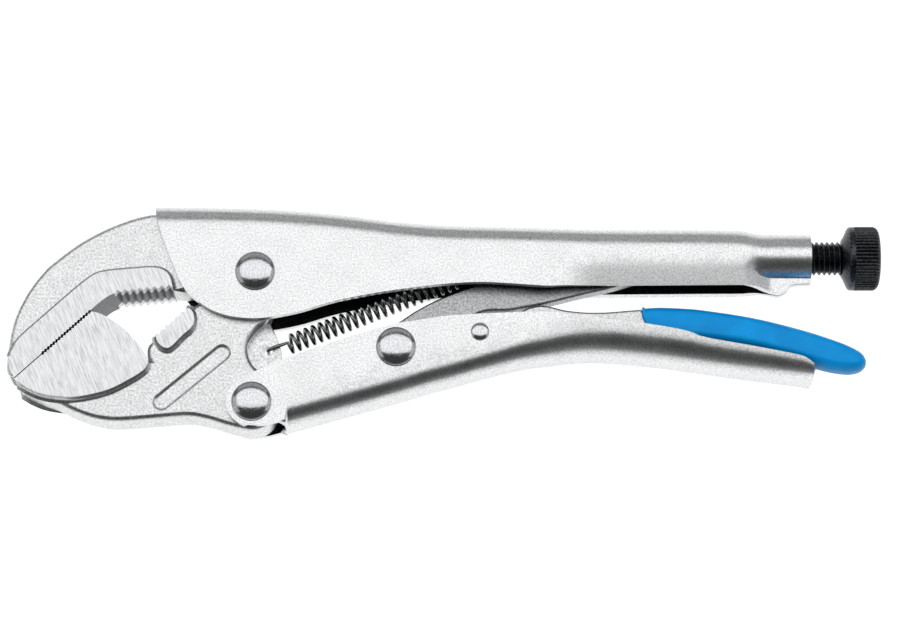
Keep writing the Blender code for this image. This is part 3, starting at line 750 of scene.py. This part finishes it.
def edge_shares(outline, cut_points, share):
    """How much of the rounding each point gets: little along cut teeth."""
    cut_set = {(round(x, 3), round(y, 3)) for x, y in cut_points}
    return [share if (round(x, 3), round(y, 3)) in cut_set else 1 for x, y in outline]


def grip_pad(outline, straight):
    """A raised grip through the web: ground faces, steep sides, and a fillet where it meets the web."""
    near = [(-FILLET, WEB_HALF - 0.05), (-0.6 * FILLET, WEB_HALF + 0.12), (-0.28 * FILLET, WEB_HALF + 0.4),
            (-0.08 * FILLET, WEB_HALF + 0.85), (0, WEB_HALF + 1.4), (0, GRIP_HALF - GROUND_EDGE),
            (0.3 * GROUND_EDGE, GRIP_HALF - 0.3 * GROUND_EDGE), (GROUND_EDGE, GRIP_HALF)]
    middle = [(0, 1 - WEB_HALF), (0, WEB_HALF - 1)]
    levels = [(inset, -height) for inset, height in reversed(near)] + middle + near
    shares = edge_shares(outline, straight, 0.0)
    return slab(outline, levels, shares)


def along(points):
    """A test for steep faces that lie on one of these points."""
    tree = KDTree(len(points))
    for index, point in enumerate(points):
        tree.insert((*point, 0), index)
    tree.balance()

    def test(face):
        middle = face.calc_center_median()
        return abs(face.normal.z) < 0.35 and tree.find((middle.x, middle.y, 0))[2] < 0.7
    return test


def ground(face):
    return abs(face.normal.z) > 0.9 and abs(face.calc_center_median().z) > GRIP_HALF - 0.1


def pill(side):
    """A shallow pill-shaped recess; nothing is written in it."""
    start, end, radius = Vector((-26.0, -38.0)), Vector((-9.2, -23.6)), 2.6
    tilt = math.degrees(math.atan2(end.y - start.y, end.x - start.x))
    outline = joined(arc(start, radius, tilt + 90, tilt + 270), arc(end, radius, tilt - 90, tilt + 90))
    depth = 0.6
    levels = [(1.0, WEB_HALF - depth), (0.6, WEB_HALF - 0.85 * depth), (0.3, WEB_HALF - 0.45 * depth),
              (0, WEB_HALF + 0.02), (0, WEB_HALF + depth)]
    if side < 0:
        levels = [(inset, -height) for inset, height in reversed(levels)]
    return slab(outline, levels)


def moving_jaw():
    tip, top = lowered(GRIP_TIP), lowered(GRIP_TOP)
    fine = teeth(top, lowered(GRIP_FINE), FINE_TEETH, FINE_DEPTH)
    plain = line(lowered(GRIP_FINE), tip)
    pipe_side = smooth_run([top, (-44.8, -12.3), (-42.7, -13.2), (-38.3, -16.1), (-34.5, -19.7),
                            (-31.7, -23.2), (-29.8, -26.4)])
    under = smooth_run([(-29.8, -26.4), (-30.2, -28.0), (-31.4, -29.6), (-35.0, -32.0), (-40.5, -34.9),
                        (-46.0, -36.5), (-51.5, -37.3), (-57.0, -36.9), (-60.8, -36.0), (-64.0, -34.6)])
    serrated = teeth((-19.6, -10.9), (-28.0, -18.7), HEEL_TEETH, HEEL_DEPTH)
    notch = smooth_run([(-28.6, -19.6), (-30.3, -21.6), (-30.4, -24.4), (-29.6, -26.2)], 4)
    underside = smooth_run([(-64.0, -34.8), (-60.0, -36.8), (-56.0, -38.2), (-51.5, -40.4), (-46.0, -42.5),
                            (-40.5, -43.5), (-35.0, -43.4), (-26.7, -42.7), (-18.7, -42.1), (-13.1, -43.0),
                            (-7.6, -44.7), (-3.2, -45.8)])
    lobe = arc(HANDLE_PIVOT, LOBE_RADIUS, 252, 372)
    relief = smooth_run([(7.2, -36.6), (6.2, -33.2), (3.0, -29.8), (-0.2, -27.2), (-1.7, -24.0),
                         (-1.8, -20.6), (0.4, -17.0), (3.6, -13.6), (6.8, -5.4)])
    lug = arc((0, 0), LUG_RADIUS, -30, 205)
    outline = joined(fine, plain, [(-66.4, -33.4)], underside, lobe, relief, lug, [(-18.6, -10.4)], serrated,
                     notch, pipe_side[::-1])
    shape = slab(outline, round_levels(WEB_HALF, FORGED_ROUND),
                 edge_shares(outline, fine + serrated + pipe_side, CUT_SHARE))
    blade = slab(joined(smooth_run([(3.8, -9.0), (4.3, -13.6), (6.2, -18.0), (7.5, -22.1), (7.2, -25.6),
                                    (4.8, -30.0)]), [(-5, -31), (-5, -9)]), round_levels(TAB_HALF, 0.5, 2))
    shape = union(shape, blade)
    lens = joined(fine, plain, [(-66.2, -33.2)], under[::-1], pipe_side[::-1])
    shape = union(shape, grip_pad(lens, fine + plain + pipe_side))
    heel = smooth_run([(-19.6, -10.9), (-18.3, -11.0), (-17.3, -12.6), (-17.1, -15.1), (-18.2, -17.2),
                       (-20.2, -19.0), (-23.0, -22.0), (-24.6, -22.9), (-26.4, -22.2), (-27.6, -20.6),
                       (-28.0, -18.7)])
    shape = union(shape, grip_pad(joined(serrated, heel[::-1]), serrated))
    shape = both_sides(shape, pill)
    for centre, radius in ((TAB_HOLE, HOOK_RADIUS), ((0, 0), BORE_RADIUS), (HANDLE_PIVOT, BORE_RADIUS)):
        shape = cut(shape, slab(joined(arc(centre, radius, 0, 360, 32)), [(0, -20), (0, 20)]))
    paint_faces(shape, 1, ground)
    paint_faces(shape, 2, along(fine + serrated + line(lowered(GRIP_FINE), tip, 12)))
    settle("moving_jaw_forging", shape, "jaw_body", [FORGED, GROUND, DARKER_TEETH], "moving_jaw", 28)


# ---------------------------------------------------------------- link and lever

LINK_PIVOT_END = (121.6, SCREW_Y)


def toggle_link():
    start = Vector(TOGGLE_PIVOT)
    ahead = Vector(LINK_PIVOT_END) - start
    length = ahead.length
    tilt = math.degrees(math.atan2(ahead.y, ahead.x))
    ahead.normalize()
    side = Vector((-ahead.y, ahead.x))

    def placed(points):
        return [tuple(start + ahead * along + side * across) for along, across in points]

    top = smooth_run(placed([(2.6, 7.8), (6.0, 8.8), (9.8, 9.8), (16.7, 10.9), (25, 11.3), (33.4, 11.0),
                             (45.5, 9.6), (65.7, 6.6), (80, 4.0), (length - 1.5, 3.0)]))
    under = smooth_run(placed([(length - 2.5, -3.1), (80, -3.3), (64.7, -2.5), (56, -1.6), (46, -0.7),
                               (39, 0.3), (34.4, 1.0), (25.8, 3.0), (13.8, -1.5), (5.0, -6.4)]))
    nose = arc(LINK_PIVOT_END, 3.2, tilt + 60, tilt - 75, 8)
    boss = arc(TOGGLE_PIVOT, 8.0, tilt - 52, tilt - 289, 24)
    shape = slab(joined(top, nose, under, boss), round_levels(LINK_HALF, 0.7, 3))
    settle("toggle_link_forging", shape, "link_body", [LINK_STEEL], "toggle_link")


LEVER_SHOWN = 46.0
LEVER_TOP = [(10.2, 6.0), (13.2, 8.0), (16.4, 8.95), (18.8, 8.95), (21.0, 8.5), (24.5, 7.6), (30.0, 7.0),
             (36.0, 7.0), (41, 7.4), (LEVER_SHOWN, 7.8)]
TIP_TOP = [(51.6, 8.85), (58, 8.6), (64.0, 8.05), (78.3, 5.75), (92.3, 2.15), (101.9, -1.1), (106.6, -3.15),
           (109.2, -4.9), (110.3, -6.9)]
TIP_UNDER = [(110.1, -8.2), (109.0, -9.3), (107.0, -10.0), (104.4, -10.15), (99.5, -9.4), (92.8, -7.5),
             (79.0, -3.6), (64.0, -1.3), (54, -1.2)]


def release_lever():
    top = smooth_run(LEVER_TOP)
    core = [(LEVER_SHOWN + 1, 6.6), (64, 5.4), (90, -0.2), (90, -4.6), (64, 0.8), (LEVER_SHOWN + 1, -0.6)]
    under = smooth_run([(LEVER_SHOWN, -0.9), (30.0, -1.4), (17.0, -2.6), (7.0, -4.6)])
    heel = arc((0, 0), 5.4, 280, 110)
    outline = joined(from_point(LEVER_PIVOT, top), from_point(LEVER_PIVOT, core),
                     from_point(LEVER_PIVOT, under), from_point(LEVER_PIVOT, heel))
    shape = slab(outline, round_levels(LEVER_HALF, 0.8, 3))
    settle("release_lever_forging", shape, "lever_body", [LEVER_STEEL], "release_lever")


def lever_coating():
    """The dip's front edge wanders a little, and its skin is thickest at the tip."""
    front = smooth_run([(46.4, 8.6), (46.0, 5.9), (46.9, 3.4), (47.6, 1.0), (47.9, -1.3)])
    outline = joined(from_point(LEVER_PIVOT, smooth_run([(46.4, 8.6)] + TIP_TOP)),
                     from_point(LEVER_PIVOT, smooth_run(TIP_UNDER + [(47.9, -1.3)])),
                     from_point(LEVER_PIVOT, front[::-1]))
    front_points = from_point(LEVER_PIVOT, front)
    near = []
    for step in range(9):
        turn = math.pi / 2 * step / 8
        near.append((2.3 * (1 - math.cos(turn)), 5.0 - 4.4 * (1 - math.sin(turn))))
    levels = [(inset, -height) for inset, height in reversed(near)] + near
    shape = slab(outline, levels, edge_shares(outline, front_points, 0.3))
    settle("lever_coating_dip", shape, "lever_body", [VINYL], "lever_coating", 50)


# ---------------------------------------------------------------- rivets

def rivet_profile(radius, dome, shank, marks):
    """A headed rivet with press marks, from its near end to its far end."""
    near = []
    steps = 22
    for step in range(steps + 1):
        out = radius * math.sin(math.pi / 2 * step / steps)
        height = HEAD_SEAT + dome * math.cos(math.pi / 2 * step / steps)
        mark = marks * math.sin(out / radius * 5 * math.tau) * max(0.0, 1 - 1.5 * out / radius)
        near.append((out, height - abs(mark)))
    near[0] = (0.0, near[0][1])
    near += [(radius - 0.1, HEAD_SEAT - 0.25), (shank, HEAD_SEAT - 0.3)]
    return near + [(out, -height) for out, height in reversed(near)]


def rivets():
    big = rivet_profile(HEAD_RADIUS, HEAD_DOME, SHANK_RADIUS, PRESS_MARK)
    small = rivet_profile(PIN_HEAD, PIN_DOME, PIN_SHANK, PIN_MARK)
    for name, place, body, profile in (("jaw_rivet", (0, 0), "upper_body", big),
                                       ("handle_rivet", HANDLE_PIVOT, "handle_body", big),
                                       ("toggle_rivet", TOGGLE_PIVOT, "handle_body", big),
                                       ("lever_pin", LEVER_PIVOT, "handle_body", small)):
        shape = moved(lathe(profile), (*place, 0))
        settle(f"{name}_headed", shape, body, [RIVET], name, 40)


# ---------------------------------------------------------------- screw and knob

def thread_radius(x, turn):
    """A V thread: distance from the crest along the helix sets the depth."""
    phase = (x / PITCH - turn / math.tau) % 1
    valley = min(1.0, max(0.0, abs(phase - 0.5) * 2.3 - 0.12))
    return THREAD_RADIUS - THREAD_DEPTH * valley


def adjusting_screw():
    start, end = cad_size("adjusting_screw")[0].x, cad_size("screw_knob")[0].x + 0.4
    sides, per_pitch = 40, 10
    count = round((end - start) / PITCH * per_pitch)
    rings = []
    for step in range(count + 1):
        x = start + (end - start) * step / count
        limit = THREAD_RADIUS - 1.2 + (x - start) * 1.1
        ring = []
        for side in range(sides):
            turn = math.tau * side / sides
            radius = min(thread_radius(x, turn), limit)
            ring.append((x, SCREW_Y + radius * math.cos(turn), radius * math.sin(turn)))
        rings.append(ring)
    shape = loft(rings)
    settle("adjusting_screw_thread", shape, "screw_body", [BLACK], "adjusting_screw", 50)


def screw_knob():
    start, end = cad_size("screw_knob")[0].x, cad_size("screw_knob")[1].x
    ribs, across = 54, 8
    sides = ribs * across
    body = 3.6
    knurl_start = start + body
    profile = [(start, 5.0, 0), (start + 0.15, 5.5, 0), (start + 0.6, 6.1, 0), (start + 1.8, 8.7, 0),
               (start + 2.3, 9.1, 0), (knurl_start - 0.2, KNOB_RADIUS, 0),
               (knurl_start, KNOB_RADIUS - 0.1, 0.7), (knurl_start + 0.3, KNOB_RADIUS, 1),
               (end - 1.6, KNOB_RADIUS, 1), (end - 1.0, KNOB_RADIUS - 0.25, 1),
               (end - 0.5, KNOB_RADIUS - 0.7, 0.6),
               (end - 0.12, KNOB_RADIUS - 1.5, 0), (end, KNOB_RADIUS - 2.2, 0), (end - 0.02, 3.0, 0),
               (end - 0.35, 2.6, 0), (end - 0.4, 0.6, 0)]
    rings = []
    for x, radius, knurl in profile:
        ring = []
        for side in range(sides):
            turn = math.tau * side / sides
            groove = 0.42 * knurl * (1 - abs(math.sin(ribs / 2 * turn)) ** 0.7)
            ring.append((x, SCREW_Y + (radius - groove) * math.cos(turn), (radius - groove) * math.sin(turn)))
        rings.append(ring)
    shape = loft(rings)
    settle("screw_knob_knurled", shape, "knob_body", [BLACK], "screw_knob", 40)


# ---------------------------------------------------------------- spring

def tension_spring():
    """A close coil on a slant, with a hooked leg at each end."""
    wire, radius, turns, points = 0.5, 2.45, 24, 20
    start, end = Vector((*TAB_HOLE, 0)), Vector((*ANCHOR_HOLE, 0))
    ahead = (end - start).normalized()
    side = Vector((-ahead.y, ahead.x, 0))
    up = Vector((0, 0, 1))
    first, last = 6.0, 4.5
    coil = (end - start).length - first - last
    over = TAB_HALF + wire + 0.15
    leg = [start - up * over - side * 0.4, start - up * 0.5 * over, start + up * 0.5 * over,
           start + up * (over - 0.2), start + up * (over + 0.25) + ahead * 0.6,
           start + up * (over + 0.1) + ahead * 2.2 + side * 0.2, start + up * 2.4 + ahead * 4.0 + side * 0.1]
    route = [Vector(point) for point in smooth_run([tuple(place) for place in leg], 5)]
    for step in range(turns * points + 1):
        turn = math.tau * step / points
        middle = start + ahead * (first + coil * step / (turns * points))
        route.append(middle + radius * (up * math.cos(turn) - side * math.sin(turn)))
    hook = [route[-1] + ahead * 1.2, end + up * 2.2 - ahead * 1.2, end + up * 1.6, end, end - up * 2.0]
    route += [Vector(point) for point in smooth_run([tuple(place) for place in hook], 5)]
    curve = bpy.data.curves.new("tension_spring_wire", "CURVE")
    curve.dimensions = "3D"
    curve.bevel_depth = wire
    curve.bevel_resolution = 3
    curve.use_fill_caps = True
    spline = curve.splines.new("POLY")
    spline.points.add(len(route) - 1)
    for knot, place in zip(spline.points, route):
        knot.co = (*place, 1)
    source = bpy.data.objects.new("spring_line", curve)
    bpy.context.scene.collection.objects.link(source)
    bpy.context.view_layer.update()
    mesh = bpy.data.meshes.new_from_object(source.evaluated_get(bpy.context.evaluated_depsgraph_get()))
    bpy.data.objects.remove(source)
    shape = bmesh.new()
    shape.from_mesh(mesh)
    bmesh.ops.remove_doubles(shape, verts=shape.verts, dist=0.001)
    made = settle("tension_spring_coil", shape, None, [WIRE], "tension_spring", 60,
                  flat=False)
    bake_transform(made)


# ---------------------------------------------------------------- studio

def softbox(name, place, target, size, radiance):
    """A flat lamp with an even face; power follows from its area, so its brightness is the same
    at any size."""
    light = bpy.data.lights.new(name, "AREA")
    light.shape = "RECTANGLE"
    light.size, light.size_y = size
    light.energy = math.pi * size[0] * size[1] * radiance
    made = bpy.data.objects.new(name, light)
    bpy.context.scene.collection.objects.link(made)
    made.location = place
    made.rotation_euler = (Vector(target) - Vector(place)).to_track_quat("-Z", "Y").to_euler()
    return made


def fill_lamp(place, target, size, radiance):
    """Soft light on the plastic and the floor that leaves the metal's reflections alone."""
    softbox("fill_softbox", place, target, size, radiance).visible_glossy = False


def overhead(turn, distance):
    """A place over the tool, turned from straight up towards +Y."""
    turn = math.radians(turn)
    return 0, distance * math.sin(turn), distance * math.cos(turn)


def studio():
    floor_depth = 0.05
    bpy.ops.mesh.primitive_plane_add(size=6, location=(0, 0, -floor_depth))
    floor = bpy.context.object
    floor.name = "light_table"
    glow, tree, shader, place = start_material("lit_white_floor", Roughness=0.9)
    shader.inputs["Base Color"].default_value = linear("#A8A8A8")
    shader.inputs["Emission Color"].default_value = linear("#FFFFFF")
    panel = add_node(tree, "ShaderNodeMapping", {"Vector": place, "Location": (0, -0.07, 0),
                                                 "Scale": (2.6, 5.0, 1)})
    far = add_node(tree, "ShaderNodeVectorMath", {0: panel.outputs["Vector"]}, operation="LENGTH")
    glowing = add_node(tree, "ShaderNodeMapRange", {"Value": far.outputs["Value"], "From Min": 0.5,
                                                    "From Max": 1.1, "To Min": 0.8, "To Max": 0.6},
                       interpolation_type="SMOOTHSTEP")
    tree.links.new(glowing.outputs["Result"], shader.inputs["Emission Strength"])
    floor.data.materials.append(glow)
    centre = (0, 0, 0.01)
    softbox("main_softbox", overhead(17, 0.55), centre, (1.1, 0.44), 1.25)
    softbox("back_wall", overhead(64, 0.8), centre, (1.4, 0.44), 0.3)
    for side in (-1, 1):
        softbox("side_wall", (side * 1.0, 0, 0.5), centre, (1.0, 0.8), 0.5)
    fill_lamp(overhead(-10, 1.2), centre, (1.6, 1.6), 1.3)
    world = bpy.data.worlds.new("studio_air")
    bpy.context.scene.world = world
    world.use_nodes = True
    sky = world.node_tree
    ahead = add_node(sky, "ShaderNodeTexCoord").outputs["Generated"]
    height = add_node(sky, "ShaderNodeSeparateXYZ", {"Vector": ahead}).outputs["Z"]
    walls = add_node(sky, "ShaderNodeMapRange", {"Value": height, "From Min": 0.0, "From Max": 0.6,
                                                 "To Min": 0.2, "To Max": 0.05})
    sky.nodes["Background"].inputs["Color"].default_value = linear("#FFFFFF")
    sky.links.new(walls.outputs["Result"], sky.nodes["Background"].inputs["Strength"])
    bpy.context.scene.view_settings.view_transform = "Standard"


def camera():
    """A long lens, looking steeply down from the side of the lower handle."""
    lens = bpy.data.cameras.new("camera")
    lens.lens = 135
    made = bpy.data.objects.new("camera", lens)
    bpy.context.scene.collection.objects.link(made)
    bpy.context.scene.camera = made
    tilt, distance = math.radians(74), 0.968
    aim = Vector((0.00205, 0.0002, RIVET_PLACE.z))
    made.location = aim + distance * Vector((0, -math.cos(tilt), math.sin(tilt)))
    made.rotation_euler = (math.pi / 2 - tilt, 0, 0)


upper_handle()
fixed_jaw()
moving_jaw()
lower_handle()
toggle_link()
release_lever()
lever_coating()
rivets()
adjusting_screw()
screw_knob()
tension_spring()
studio()
camera()
